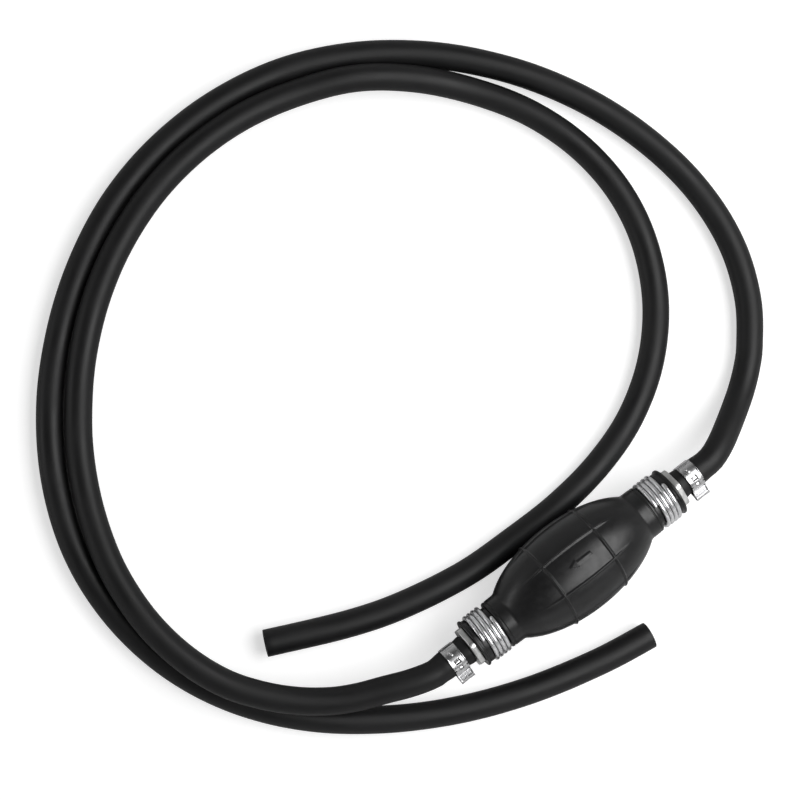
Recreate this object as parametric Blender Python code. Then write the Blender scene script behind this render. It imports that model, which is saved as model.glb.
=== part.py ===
"""Siphon bulb pump: a squeeze bulb with a check valve in each neck and a length of hose on each side.

The flow axis is world X, from the inlet at +X to the outlet at -X. The bulb rests on z = 0.
"""

import math

import bmesh
import bpy

MM = 0.001

# Driving dimensions, in millimetres along the flow axis (x) and as radii about it.
BULB_R = 24.4
BULB_HALF_AXIS = 48.8
CAVITY_R = 21.8
CAVITY_HALF_AXIS = 46.0
RIB_H = 0.7
RIB_COUNT = 8
RIB_ROLL_DEG = 28.5
RIB_HALF_DEG = 1.8
RIB_FLANK_DEG = 12.0
RIB_FADE_END = 29.0
RIB_FADE = 0.6
RING_X = 15.8
RING_HALF = 1.3
CREASE_X = 40.7
COLLAR_R = 13.4
COLLAR_END = 48.2
GROOVE_R = 11.2
GROOVE_END = 61.0
MOUTH_R = 12.4
BEAD_R = 13.5
MOUTH_END = 63.6
NECK_BORE_R = 9.2

PANEL_HALF_X = 26.0
PANEL_HALF_Y = 14.0
PANEL_CORNER = 5.0
PANEL_CUT_FROM = 8.0
PANEL_CUT_TO = 30.0
CLEARANCE = 0.3
EDGE_BREAK = 0.3

WIRE_R = 1.1
WIRE_TURNS = 4.0
WIRE_PITCH = 2.45
WIRE_COIL_X = 54.7
WIRE_COIL_R = 12.6
WIRE_START_DEG = -8.0

FLANGE_START = 63.9
FLANGE_END = 66.7
HEX_ACROSS_FLATS = 20.6
HEX_TURN_DEG = 5.0
HEX_DISC_R = 9.5
HEX_HOLE_R = 8.0
BARREL_START = 46.4
BARREL_R = 8.3
BARREL_BARB_R = 8.9
BARREL_BARBS = (49.0, 53.5, 58.0)
BARREL_BARB_LENGTH = 2.4
CHAMBER_R = 6.9
CHAMBER_END = 61.5
STEM_R = 3.5
STEM_BARB_R = 4.1
STEM_BARBS = (69.0, 73.6, 78.2)
STEM_BARB_LENGTH = 3.4
STEM_BORE_R = 2.5
STEM_END = 83.6

HOSE_R = 7.0
SOCKET_START = 67.0
SOCKET_END = 84.0
SOCKET_FLARE_R = 7.7
SOCKET_R = 7.25
SOCKET_BORE_R = 4.4

BAND_X = 75.6
BAND_WIDTH = 8.0
BAND_BORE_R = 7.55
BAND_THICK = 0.5
LATCH_REACH = 12.7
LATCH_HALF_THICK = 1.9

# The check valve, measured from the seat's inner face towards the outlet.
SEAT_R = 6.6
SEAT_BORE_R = 3.2
SEAT_THICK = 1.9
INLET_SEAT_X = 59.3
OUTLET_SEAT_X = -50.8
SEAL_GAP = 0.3
SEAL_R = 4.8
SEAL_BORE_R = 2.6
SEAL_THICK = 0.8
HEAD_R = 4.8
HEAD_THICK = 1.3
BOSS_R = 2.3
VALVE_STEM_R = 1.0
VALVE_STEM_LENGTH = 6.4
CAGE_R = 6.6
CAGE_BORE_R = 5.5
CAGE_LENGTH = 10.2
CAGE_WEB = 1.4
HUB_R = 2.4
HUB_BORE_R = 1.3
SPOKE_WIDTH = 1.8
SPRING_R = 3.0
SPRING_WIRE_R = 0.25
SPRING_TURNS = 5.0
SNAP_RING_X = 48.0
SNAP_RING_WIDTH = 0.8
SNAP_RING_R = 7.1
SNAP_RING_BORE_R = 5.4
SNAP_GROOVE_R = 7.4
SNAP_RING_GAP = 2.4

TURN_STEPS = 24
BULB_STEPS = RIB_COUNT * 6

# The hoses' routes on the floor, in millimetres, from the end of the socket to the cut end.
INLET_ROUTE = [
    (92.5, 0.8, 24.2),
    (101.0, 3.6, 21.4),
    (110.5, 7.6, 16.9),
    (120.5, 12.2, 12.1),
    (130.0, 17.4, 8.9),
    (139.5, 24.3, 7.3),
    (148.1, 32.7, 7.0),
    (161.9, 51.5, 7.0),
    (172.0, 76.0, 7.0),
    (175.9, 103.0, 7.0),
    (173.9, 132.0, 7.0),
    (165.6, 163.7, 7.0),
    (152.0, 193.8, 7.0),
    (132.4, 223.0, 7.0),
    (105.9, 250.7, 7.0),
    (73.8, 273.6, 7.0),
    (38.4, 289.0, 7.0),
    (0.9, 295.6, 7.0),
    (-36.2, 294.2, 7.0),
    (-71.7, 285.4, 7.0),
    (-104.5, 269.2, 7.0),
    (-134.0, 247.3, 7.0),
    (-159.6, 220.5, 7.0),
    (-179.7, 188.8, 7.0),
    (-192.2, 153.9, 7.0),
    (-195.0, 117.2, 7.0),
    (-188.4, 81.1, 7.0),
    (-173.0, 48.3, 7.0),
    (-149.7, 19.5, 7.0),
    (-120.5, -4.3, 7.0),
    (-87.8, -23.5, 7.0),
    (-52.6, -38.1, 7.0),
    (-15.5, -48.4, 7.0),
    (14.0, -53.6, 7.0),
]
OUTLET_ROUTE = [
    (-92.5, 1.2, 24.4),
    (-101.5, 4.2, 23.7),
    (-112.0, 8.6, 22.4),
    (-124.0, 13.5, 21.2),
    (-136.0, 20.0, 20.5),
    (-149.0, 30.0, 20.2),
    (-161.6, 43.2, 20.1),
    (-172.3, 58.6, 20.1),
    (-180.2, 77.9, 20.1),
    (-184.5, 99.0, 19.2),
    (-185.0, 120.0, 17.7),
    (-182.1, 142.0, 15.6),
    (-174.7, 166.0, 13.2),
    (-164.1, 188.6, 11.9),
    (-151.4, 208.1, 11.8),
    (-133.8, 228.9, 12.7),
    (-111.3, 248.6, 13.3),
    (-85.5, 264.6, 12.9),
    (-56.8, 276.0, 12.7),
    (-27.1, 281.7, 12.8),
    (3.5, 281.7, 12.4),
    (33.8, 275.7, 11.9),
    (63.1, 264.2, 13.0),
    (88.9, 246.3, 10.8),
    (110.8, 224.1, 7.0),
    (128.0, 197.9, 7.0),
    (138.6, 168.7, 7.0),
    (141.5, 138.5, 7.0),
    (136.0, 109.0, 7.0),
    (121.8, 80.6, 7.0),
    (100.6, 57.4, 7.0),
    (74.4, 40.8, 7.0),
    (46.0, 31.5, 7.0),
    (16.0, 27.4, 7.0),
    (-14.0, 27.2, 7.0),
    (-44.0, 28.6, 7.0),
    (-78.3, 35.2, 7.0),
    (-106.7, 44.6, 7.0),
    (-144.8, 61.6, 7.0),
]
HOSE_STEP = 17.0
STRAIGHT_LEAD = 3.0
HOSE_SIDE_RESOLUTION = 3


def bulb_radius(x):
    """Radius of the bulb's plain outer wall at x."""
    return BULB_R * math.sqrt(1.0 - (x / BULB_HALF_AXIS) ** 2)


def cavity_radius(x):
    """Radius of the bulb's hollow at x."""
    return CAVITY_R * math.sqrt(1.0 - (x / CAVITY_HALF_AXIS) ** 2)


# No rib stands straight down, so the plain wall carries the bulb.
AXIS_Z = BULB_R


def material(name, colour, roughness, metallic):
    made = bpy.data.materials.new(name)
    made.use_nodes = True
    shader = made.node_tree.nodes["Principled BSDF"]
    shader.inputs["Base Color"].default_value = (*colour, 1.0)
    shader.inputs["Roughness"].default_value = roughness
    shader.inputs["Metallic"].default_value = metallic
    return made


def clear_scene():
    for old in list(bpy.data.objects):
        bpy.data.objects.remove(old, do_unlink=True)


def add_object(name, mesh_or_curve, finish):
    made = bpy.data.objects.new(name, mesh_or_curve)
    made.data.materials.append(finish)
    bpy.context.scene.collection.objects.link(made)
    return made


def to_mesh(shape, name):
    bmesh.ops.recalc_face_normals(shape, faces=shape.faces)
    mesh = bpy.data.meshes.new(name)
    shape.to_mesh(mesh)
    shape.free()
    mesh.shade_smooth()
    mesh.set_sharp_from_angle(angle=math.radians(30))
    return mesh


def turned(outline, steps=TURN_STEPS):
    """A closed outline of (x, radius) points in mm, spun about the X axis through the origin."""
    shape = bmesh.new()
    points = [shape.verts.new((x * MM, 0.0, r * MM)) for x, r in outline]
    edges = [shape.edges.new((a, b)) for a, b in zip(points, points[1:] + points[:1])]
    bmesh.ops.spin(
        shape,
        geom=points + edges,
        cent=(0.0, 0.0, 0.0),
        axis=(1.0, 0.0, 0.0),
        angle=math.tau,
        steps=steps,
        use_merge=True,
    )
    return shape


def turned_solid(outline, steps=TURN_STEPS):
    """An open outline whose two ends lie on the X axis, spun about it."""
    shape = bmesh.new()
    points = [shape.verts.new((x * MM, 0.0, r * MM)) for x, r in outline]
    edges = [shape.edges.new((a, b)) for a, b in zip(points, points[1:])]
    bmesh.ops.spin(
        shape,
        geom=points + edges,
        cent=(0.0, 0.0, 0.0),
        axis=(1.0, 0.0, 0.0),
        angle=math.tau,
        steps=steps,
        use_merge=True,
    )
    bmesh.ops.remove_doubles(shape, verts=shape.verts, dist=1e-6)
    return shape


def prism(outline, x_from, x_to):
    """A polygon of (y, z) points in mm, extruded along X."""
    shape = bmesh.new()
    face = shape.faces.new([shape.verts.new((x_from * MM, y * MM, z * MM)) for y, z in outline])
    made = bmesh.ops.extrude_face_region(shape, geom=[face])["geom"]
    moved = [item for item in made if isinstance(item, bmesh.types.BMVert)]
    bmesh.ops.translate(shape, verts=moved, vec=((x_to - x_from) * MM, 0.0, 0.0))
    return shape


def helper(name, mesh):
    """An object that only cuts or joins, kept out of the part."""
    made = bpy.data.objects.new(name, mesh)
    made.hide_render = True
    made.display_type = "WIRE"
    bpy.context.scene.collection.objects.link(made)
    return made


def boolean(target, other, operation):
    step = target.modifiers.new(operation.title() + "_" + other.name, "BOOLEAN")
    step.operation = operation
    step.object = other
    step.solver = "EXACT"


def raise_to_axis(objects):
    for item in objects:
        item.location.z += AXIS_Z * MM


def mirrored(outline):
    """The same outline on the outlet side."""
    return [(-x, r) for x, r in reversed(outline)]


def bulb_shape():
    """The moulded rubber wall: belly, rings, collars, clamp grooves and beads, open at both ends."""
    half = [
        (0.0, bulb_radius(0.0)),
        (8.0, bulb_radius(8.0)),
        (RING_X - RING_HALF, bulb_radius(RING_X - RING_HALF)),
        (RING_X - RING_HALF / 3, bulb_radius(RING_X) + RIB_H),
        (RING_X + RING_HALF / 3, bulb_radius(RING_X) + RIB_H),
        (RING_X + RING_HALF, bulb_radius(RING_X + RING_HALF)),
        (23.0, bulb_radius(23.0)),
        (RIB_FADE_END, bulb_radius(RIB_FADE_END)),
        (35.0, bulb_radius(35.0)),
        (CREASE_X, COLLAR_R),
        (COLLAR_END - 0.4, COLLAR_R),
        (COLLAR_END, COLLAR_R - 0.6),
        (COLLAR_END + 0.2, GROOVE_R),
        (GROOVE_END, GROOVE_R),
        (GROOVE_END + 0.2, MOUTH_R),
        (MOUTH_END - 1.6, MOUTH_R),
        (MOUTH_END - 1.1, BEAD_R),
        (MOUTH_END - 0.3, BEAD_R),
        (MOUTH_END, BEAD_R - 0.5),
    ]
    hollow_end = CAVITY_HALF_AXIS * math.sqrt(1.0 - (NECK_BORE_R / CAVITY_R) ** 2)
    inner_half = [
        (MOUTH_END, NECK_BORE_R),
        (hollow_end, NECK_BORE_R),
        (36.0, cavity_radius(36.0)),
        (26.0, cavity_radius(26.0)),
        (13.0, cavity_radius(13.0)),
    ]
    outer = mirrored(half[1:]) + half
    inner = inner_half + [(0.0, CAVITY_R)] + mirrored(inner_half)
    shape = turned(outer + inner, BULB_STEPS)
    raise_ribs(shape)
    return shape


def raise_ribs(shape):
    """Gathers the columns beside each rib, lifts the rib's own column and turns the pattern."""
    pitch = math.tau / RIB_COUNT
    column = pitch / 6
    for vert in shape.verts:
        radius = math.hypot(vert.co.y, vert.co.z)
        angle = math.atan2(vert.co.y, vert.co.z)
        place = (angle + pitch / 2) % pitch - pitch / 2
        rib = angle - place
        if 0.5 * column < abs(place) < 1.5 * column:
            place = math.copysign(math.radians(RIB_HALF_DEG), place)
        elif 1.5 * column < abs(place) < 2.5 * column:
            place = math.copysign(math.radians(RIB_FLANK_DEG), place)
        along = abs(vert.co.x) / MM
        plain = bulb_radius(min(along, CREASE_X)) * MM
        if abs(place) < 0.25 * column and along < RIB_FADE_END - 0.1 and radius > plain - 0.1 * MM:
            fade = 1.0 if along < RING_X + 2 * RING_HALF else RIB_FADE
            radius = max(radius, plain + fade * RIB_H * MM)
        turned_to = rib + place + math.radians(RIB_ROLL_DEG)
        vert.co.y = radius * math.sin(turned_to)
        vert.co.z = radius * math.cos(turned_to)


def rounded_window(half_x, half_y, name):
    """An upright prism with clipped corners above the flow axis."""
    corner = PANEL_CORNER
    outline = [
        (-half_x, -half_y + corner),
        (-half_x + corner, -half_y),
        (half_x - corner, -half_y),
        (half_x, -half_y + corner),
        (half_x, half_y - corner),
        (half_x - corner, half_y),
        (-half_x + corner, half_y),
        (-half_x, half_y - corner),
    ]
    shape = bmesh.new()
    face = shape.faces.new([shape.verts.new((x * MM, y * MM, PANEL_CUT_FROM * MM)) for x, y in outline])
    made = bmesh.ops.extrude_face_region(shape, geom=[face])["geom"]
    moved = [item for item in made if isinstance(item, bmesh.types.BMVert)]
    bmesh.ops.translate(shape, verts=moved, vec=(0.0, 0.0, (PANEL_CUT_TO - PANEL_CUT_FROM) * MM))
    return helper(name, to_mesh(shape, name))


def build_bulb(rubber):
    """The bulb's fixed wall, and the part of its top wall that a hand presses in."""
    bulb = add_object("bulb", to_mesh(bulb_shape(), "bulb"), rubber)
    panel = add_object("squeeze_panel", to_mesh(bulb_shape(), "squeeze_panel"), rubber)
    opening = rounded_window(PANEL_HALF_X + CLEARANCE, PANEL_HALF_Y + CLEARANCE, "panel_opening")
    keep = rounded_window(PANEL_HALF_X, PANEL_HALF_Y, "panel_outline")
    boolean(bulb, opening, "DIFFERENCE")
    boolean(panel, keep, "INTERSECT")
    return [bulb, panel, opening, keep]


def fitting_outline():
    """Turned profile of a fitting on the inlet side, out from the bulb end and back through the bore."""
    barbs = []
    for start in BARREL_BARBS:
        top = start + BARREL_BARB_LENGTH
        barbs += [(start, BARREL_R), (top, BARREL_BARB_R), (top + 0.1, BARREL_R)]
    stem_barbs = []
    for start in STEM_BARBS:
        stem_barbs += [(start - 0.1, STEM_R), (start, STEM_BARB_R), (start + STEM_BARB_LENGTH, STEM_R)]
    disc_from = FLANGE_START + EDGE_BREAK
    disc_to = FLANGE_END - EDGE_BREAK
    outer = [(BARREL_START, BARREL_R - EDGE_BREAK), (BARREL_START + EDGE_BREAK, BARREL_R)]
    outer += barbs + [(disc_from, BARREL_R), (disc_from, HEX_DISC_R)]
    outer += [(disc_to, HEX_DISC_R), (disc_to, STEM_R)] + stem_barbs
    outer += [(STEM_END - EDGE_BREAK, STEM_R), (STEM_END, STEM_R - EDGE_BREAK)]
    inner = [(STEM_END, STEM_BORE_R), (CHAMBER_END, STEM_BORE_R), (CHAMBER_END, CHAMBER_R)]
    return outer + inner + [(BARREL_START, CHAMBER_R)]


def snap_groove(outline):
    """The same outline with the snap ring's groove turned into the chamber wall."""
    from_x = SNAP_RING_X - SNAP_RING_WIDTH / 2 - CLEARANCE
    to_x = SNAP_RING_X + SNAP_RING_WIDTH / 2 + CLEARANCE
    groove = [(to_x, CHAMBER_R), (to_x, SNAP_GROOVE_R), (from_x, SNAP_GROOVE_R), (from_x, CHAMBER_R)]
    return outline[:-1] + groove + outline[-1:]


def hex_ring(side, name):
    """The hexagonal flange, with a hole that the fitting's turned disc fills."""
    corner = HEX_ACROSS_FLATS / math.sqrt(3)
    hexagon = []
    for step in range(6):
        angle = math.radians(60 * step + HEX_TURN_DEG)
        hexagon.append((corner * math.sin(angle), corner * math.cos(angle)))
    ends = sorted((side * FLANGE_START, side * FLANGE_END))
    shape = prism(hexagon, *ends)
    rims = [edge for edge in shape.edges if abs(edge.verts[0].co.x - edge.verts[1].co.x) < 1e-6]
    bmesh.ops.bevel(
        shape,
        geom=rims,
        offset=EDGE_BREAK * MM,
        segments=1,
        profile=0.5,
        affect="EDGES",
        material=-1,
    )
    ring = helper(name + "_hexagon", to_mesh(shape, name + "_hexagon"))
    drill_from = ends[0] - 1.0
    drill_to = ends[1] + 1.0
    hole = [(drill_from, 0.0), (drill_from, HEX_HOLE_R), (drill_to, HEX_HOLE_R), (drill_to, 0.0)]
    drill = helper(name + "_drill", to_mesh(turned_solid(hole), name + "_drill"))
    boolean(ring, drill, "DIFFERENCE")
    return ring, drill


def build_fitting(name, side, finish):
    outline = snap_groove(fitting_outline())
    if side < 0:
        outline = mirrored(outline)
    fitting = add_object(name, to_mesh(turned(outline), name), finish)
    ring, drill = hex_ring(side, name)
    boolean(fitting, ring, "UNION")
    return [fitting, ring, drill]


def helix(name, finish, centre_x, radius, wire_r, turns, pitch, points_per_turn, sides, start_deg):
    """A round wire wound about the X axis."""
    curve = bpy.data.curves.new(name, "CURVE")
    curve.dimensions = "3D"
    curve.bevel_depth = wire_r * MM
    curve.bevel_resolution = sides
    curve.use_fill_caps = True
    spline = curve.splines.new("POLY")
    count = int(turns * points_per_turn)
    spline.points.add(count)
    for index in range(count + 1):
        angle = math.radians(start_deg) + math.tau * turns * index / count
        x = centre_x + pitch * turns * (index / count - 0.5)
        y = radius * math.sin(angle)
        z = radius * math.cos(angle)
        spline.points[index].co = (x * MM, y * MM, z * MM, 1.0)
    return add_object(name, curve, finish)


def latch_outline():
    """Points (y, z) of the clamp band's folded latch, on the -Y side of the hose."""
    root = 0.1 - BAND_BORE_R - BAND_THICK
    half = LATCH_HALF_THICK
    return [(root, -half), (root, half), (-LATCH_REACH, half), (-LATCH_REACH, -half)]


def build_band(name, side, finish):
    """The stamped hose clamp: one band with a folded latch."""
    ends = sorted((side * (BAND_X - BAND_WIDTH / 2), side * (BAND_X + BAND_WIDTH / 2)))
    outer = BAND_BORE_R + 2 * BAND_THICK
    ring = [(ends[0], outer), (ends[1], outer), (ends[1], BAND_BORE_R), (ends[0], BAND_BORE_R)]
    band = add_object(name, to_mesh(turned(ring), name), finish)
    latch = helper(name + "_latch", to_mesh(prism(latch_outline(), *ends), name + "_latch"))
    boolean(band, latch, "UNION")
    return [band, latch]


def build_socket(name, side, finish):
    """The first stretch of the hose, stretched over the fitting's barbed stem."""
    outline = [
        (SOCKET_START, SOCKET_BORE_R),
        (SOCKET_START, SOCKET_FLARE_R - EDGE_BREAK),
        (SOCKET_START + EDGE_BREAK, SOCKET_FLARE_R),
        (BAND_X - BAND_WIDTH / 2 - CLEARANCE, SOCKET_R),
        (BAND_X + BAND_WIDTH / 2, SOCKET_R),
        (SOCKET_END, HOSE_R),
        (SOCKET_END, SOCKET_BORE_R),
    ]
    if side < 0:
        outline = mirrored(outline)
    return [add_object(name, to_mesh(turned(outline), name), finish)]


def smooth_route(points):
    """Points every HOSE_STEP along a Catmull-Rom curve through the route's own points."""
    padded = [points[0]] + points + [points[-1]]
    fine = []
    for index in range(1, len(padded) - 2):
        p0, p1, p2, p3 = padded[index - 1 : index + 3]
        for part in range(20):
            t = part / 20
            fine.append(
                tuple(
                    0.5
                    * (
                        2 * b
                        + (c - a) * t
                        + (2 * a - 5 * b + 4 * c - d) * t**2
                        + (3 * b - a - 3 * c + d) * t**3
                    )
                    for a, b, c, d in zip(p0, p1, p2, p3)
                )
            )
    fine.append(points[-1])
    length = sum(math.dist(a, b) for a, b in zip(fine, fine[1:]))
    steps = max(2, round(length / HOSE_STEP))
    chosen = [fine[0]]
    travelled = 0.0
    for a, b in zip(fine, fine[1:]):
        travelled += math.dist(a, b)
        if travelled >= len(chosen) * length / steps - 1e-6 and len(chosen) < steps:
            chosen.append(b)
    return chosen + [fine[-1]]


def build_hose(name, side, route, finish):
    """The free hose as a plain tube, from the socket's end to the cut end."""
    start = side * (SOCKET_END + CLEARANCE)
    lead = start + side * STRAIGHT_LEAD
    curve = bpy.data.curves.new(name, "CURVE")
    curve.dimensions = "3D"
    curve.bevel_depth = HOSE_R * MM
    curve.bevel_resolution = HOSE_SIDE_RESOLUTION
    curve.use_fill_caps = True
    spline = curve.splines.new("POLY")
    places = [(start, 0.0, AXIS_Z)] + smooth_route([(lead, 0.0, AXIS_Z)] + route)
    spline.points.add(len(places) - 1)
    for point, place in zip(spline.points, places):
        point.co = (place[0] * MM, place[1] * MM, place[2] * MM, 1.0)
    return add_object(name, curve, finish)


def build_valve(prefix, seat_x, finishes):
    """One check valve. The seat faces the outlet; the poppet opens towards -X."""
    brass, rubber, nylon, steel = finishes
    seat = [
        (seat_x, SEAT_BORE_R + 0.6),
        (seat_x + 0.6, SEAT_BORE_R),
        (seat_x + SEAT_THICK, SEAT_BORE_R),
        (seat_x + SEAT_THICK, SEAT_R),
        (seat_x, SEAT_R),
    ]
    seal_x = seat_x - SEAL_GAP
    seal = [
        (seal_x, SEAL_BORE_R),
        (seal_x, SEAL_R),
        (seal_x - SEAL_THICK, SEAL_R),
        (seal_x - SEAL_THICK, SEAL_BORE_R),
    ]
    head_x = seal_x - SEAL_THICK - CLEARANCE
    back_x = head_x - HEAD_THICK
    tip_x = back_x - VALVE_STEM_LENGTH
    poppet = [
        (tip_x, 0.0),
        (tip_x, VALVE_STEM_R - 0.2),
        (tip_x + 0.3, VALVE_STEM_R),
        (back_x, VALVE_STEM_R),
        (back_x, HEAD_R - 0.3),
        (back_x + 0.3, HEAD_R),
        (head_x, HEAD_R),
        (head_x, BOSS_R),
        (seat_x, BOSS_R),
        (seat_x, 0.0),
    ]
    cage_from = seat_x - CLEARANCE - CAGE_LENGTH
    cage_to = seat_x - CLEARANCE
    web_to = cage_from + CAGE_WEB
    sleeve = [
        (cage_from, CAGE_BORE_R),
        (cage_to, CAGE_BORE_R),
        (cage_to, CAGE_R),
        (cage_from, CAGE_R),
    ]
    hub = [
        (cage_from, HUB_BORE_R),
        (web_to, HUB_BORE_R),
        (web_to, HUB_R),
        (cage_from, HUB_R),
    ]
    cage = add_object(prefix + "_valve_cage", to_mesh(turned(sleeve, 24), "cage"), nylon)
    middle = helper(prefix + "_cage_hub", to_mesh(turned(hub, 24), "hub"))
    made = [cage, middle]
    boolean(cage, middle, "UNION")
    inside = HUB_R - 0.5
    outside = CAGE_BORE_R + 0.5
    half = SPOKE_WIDTH / 2
    for step in range(3):
        spoke_mesh = to_mesh(
            prism([(-half, inside), (half, inside), (half, outside), (-half, outside)], cage_from, web_to),
            "spoke",
        )
        spoke = helper(f"{prefix}_cage_spoke_{step + 1}", spoke_mesh)
        spoke.rotation_euler.x = math.radians(120 * step)
        boolean(cage, spoke, "UNION")
        made.append(spoke)
    spring_from = web_to + CLEARANCE + SPRING_WIRE_R
    spring_to = back_x - CLEARANCE - SPRING_WIRE_R
    spring = helix(
        prefix + "_valve_spring",
        steel,
        (spring_from + spring_to) / 2,
        SPRING_R,
        SPRING_WIRE_R,
        SPRING_TURNS,
        (spring_to - spring_from) / SPRING_TURNS,
        12,
        0,
        0.0,
    )
    made.append(spring)
    made.append(add_object(prefix + "_valve_seat", to_mesh(turned(seat, 24), "seat"), brass))
    made.append(add_object(prefix + "_valve_seal", to_mesh(turned(seal, 24), "seal"), rubber))
    made.append(add_object(prefix + "_poppet", to_mesh(turned_solid(poppet, 24), "poppet"), nylon))
    return made


def build_snap_ring(name, side, finish):
    centre = side * SNAP_RING_X
    from_x = centre - SNAP_RING_WIDTH / 2
    to_x = centre + SNAP_RING_WIDTH / 2
    outline = [
        (from_x, SNAP_RING_R),
        (to_x, SNAP_RING_R),
        (to_x, SNAP_RING_BORE_R),
        (from_x, SNAP_RING_BORE_R),
    ]
    shape = turned(outline, 24)
    ring = add_object(name, to_mesh(shape, name), finish)
    half = SNAP_RING_GAP / 2
    inside = SNAP_RING_BORE_R / 2
    outside = SNAP_RING_R + 1.0
    slot = [(-half, inside), (half, inside), (half, outside), (-half, outside)]
    gap = helper(name + "_gap", to_mesh(prism(slot, from_x - 1.0, to_x + 1.0), name + "_gap"))
    boolean(ring, gap, "DIFFERENCE")
    return [ring, gap]


def main():
    clear_scene()
    rubber = material("black_rubber", (0.012, 0.012, 0.013), 0.5, 0.0)
    hose_rubber = material("hose_rubber", (0.012, 0.012, 0.013), 0.55, 0.0)
    aluminium = material("aluminium", (0.78, 0.78, 0.77), 0.38, 1.0)
    zinc = material("zinc_steel", (0.74, 0.74, 0.74), 0.22, 1.0)
    brass = material("brass", (0.72, 0.5, 0.2), 0.3, 1.0)
    nylon = material("white_nylon", (0.8, 0.79, 0.74), 0.45, 0.0)
    steel = material("spring_steel", (0.6, 0.6, 0.62), 0.25, 1.0)

    parts = build_bulb(rubber)
    for prefix, side, seat_x in (("inlet", 1, INLET_SEAT_X), ("outlet", -1, OUTLET_SEAT_X)):
        parts += build_fitting(prefix + "_fitting", side, aluminium)
        parts += build_band(prefix + "_hose_clamp", side, zinc)
        parts += build_socket(prefix + "_hose_socket", side, hose_rubber)
        parts += build_valve(prefix, seat_x, (brass, rubber, nylon, steel))
        parts += build_snap_ring(prefix + "_snap_ring", side, steel)
        wire = helix(
            prefix + "_neck_clamp",
            zinc,
            side * WIRE_COIL_X,
            WIRE_COIL_R,
            WIRE_R,
            WIRE_TURNS,
            WIRE_PITCH,
            18,
            1,
            WIRE_START_DEG,
        )
        parts.append(wire)
    raise_to_axis(parts)
    build_hose("inlet_hose", 1, INLET_ROUTE, hose_rubber)
    build_hose("outlet_hose", -1, OUTLET_ROUTE, hose_rubber)


main()
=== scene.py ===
"""Siphon bulb pump: the visible bulb, fittings, clamps and hoses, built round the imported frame.

The flow axis runs along X, from the inlet at +X to the outlet at -X. Lengths are in metres.
"""

import math

import bmesh
import bpy
from mathutils import Matrix, Vector


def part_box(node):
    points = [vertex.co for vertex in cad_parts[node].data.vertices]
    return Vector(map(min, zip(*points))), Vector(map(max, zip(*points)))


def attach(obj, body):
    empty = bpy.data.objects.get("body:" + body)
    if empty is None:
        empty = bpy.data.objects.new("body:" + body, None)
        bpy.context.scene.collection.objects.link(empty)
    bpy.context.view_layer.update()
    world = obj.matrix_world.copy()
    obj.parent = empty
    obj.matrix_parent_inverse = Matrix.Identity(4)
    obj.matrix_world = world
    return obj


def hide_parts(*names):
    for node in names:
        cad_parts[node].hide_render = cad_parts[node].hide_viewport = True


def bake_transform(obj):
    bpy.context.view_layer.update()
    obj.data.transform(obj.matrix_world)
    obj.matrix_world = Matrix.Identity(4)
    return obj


bl_info = {
    "name": "Siphon Bulb Pump",
    "version": (1, 0, 0),
    "blender": (4, 5, 0),
    "location": "View3D > Sidebar > Siphon Pump",
    "description": "Builds a rubber squeeze-bulb siphon pump round its packed frame",
    "category": "Add Mesh",
}

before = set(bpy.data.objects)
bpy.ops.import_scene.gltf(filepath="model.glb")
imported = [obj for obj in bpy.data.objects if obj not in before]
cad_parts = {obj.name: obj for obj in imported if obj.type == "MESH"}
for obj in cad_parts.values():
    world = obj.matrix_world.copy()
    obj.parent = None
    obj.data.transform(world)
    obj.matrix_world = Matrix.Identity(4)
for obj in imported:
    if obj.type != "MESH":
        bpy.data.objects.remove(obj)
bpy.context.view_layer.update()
MM = 0.001
FIXED = "pump"
SEAT_LOW, SEAT_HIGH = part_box("inlet_valve_seat")
AXIS_Z = (SEAT_LOW.z + SEAT_HIGH.z) / 2
SIDES = {"inlet": 1, "outlet": -1}

# The hoses' routes on the floor, in metres, from the end of the socket to the cut end.
INLET_ROUTE = [
    (0.0925, 0.0008, 0.0242),
    (0.1010, 0.0036, 0.0214),
    (0.1105, 0.0076, 0.0169),
    (0.1205, 0.0122, 0.0121),
    (0.1300, 0.0174, 0.0089),
    (0.1395, 0.0243, 0.0073),
    (0.1481, 0.0327, 0.0070),
    (0.1619, 0.0515, 0.0070),
    (0.1720, 0.0760, 0.0070),
    (0.1759, 0.1030, 0.0070),
    (0.1739, 0.1320, 0.0070),
    (0.1656, 0.1637, 0.0070),
    (0.1520, 0.1938, 0.0070),
    (0.1324, 0.2230, 0.0070),
    (0.1059, 0.2507, 0.0070),
    (0.0738, 0.2736, 0.0070),
    (0.0384, 0.2890, 0.0070),
    (0.0009, 0.2956, 0.0070),
    (-0.0362, 0.2942, 0.0070),
    (-0.0717, 0.2854, 0.0070),
    (-0.1045, 0.2692, 0.0070),
    (-0.1340, 0.2473, 0.0070),
    (-0.1596, 0.2205, 0.0070),
    (-0.1797, 0.1888, 0.0070),
    (-0.1922, 0.1539, 0.0070),
    (-0.1950, 0.1172, 0.0070),
    (-0.1884, 0.0811, 0.0070),
    (-0.1730, 0.0483, 0.0070),
    (-0.1497, 0.0195, 0.0070),
    (-0.1205, -0.0043, 0.0070),
    (-0.0878, -0.0235, 0.0070),
    (-0.0526, -0.0381, 0.0070),
    (-0.0155, -0.0484, 0.0070),
    (0.0140, -0.0536, 0.0070),
]
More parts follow.
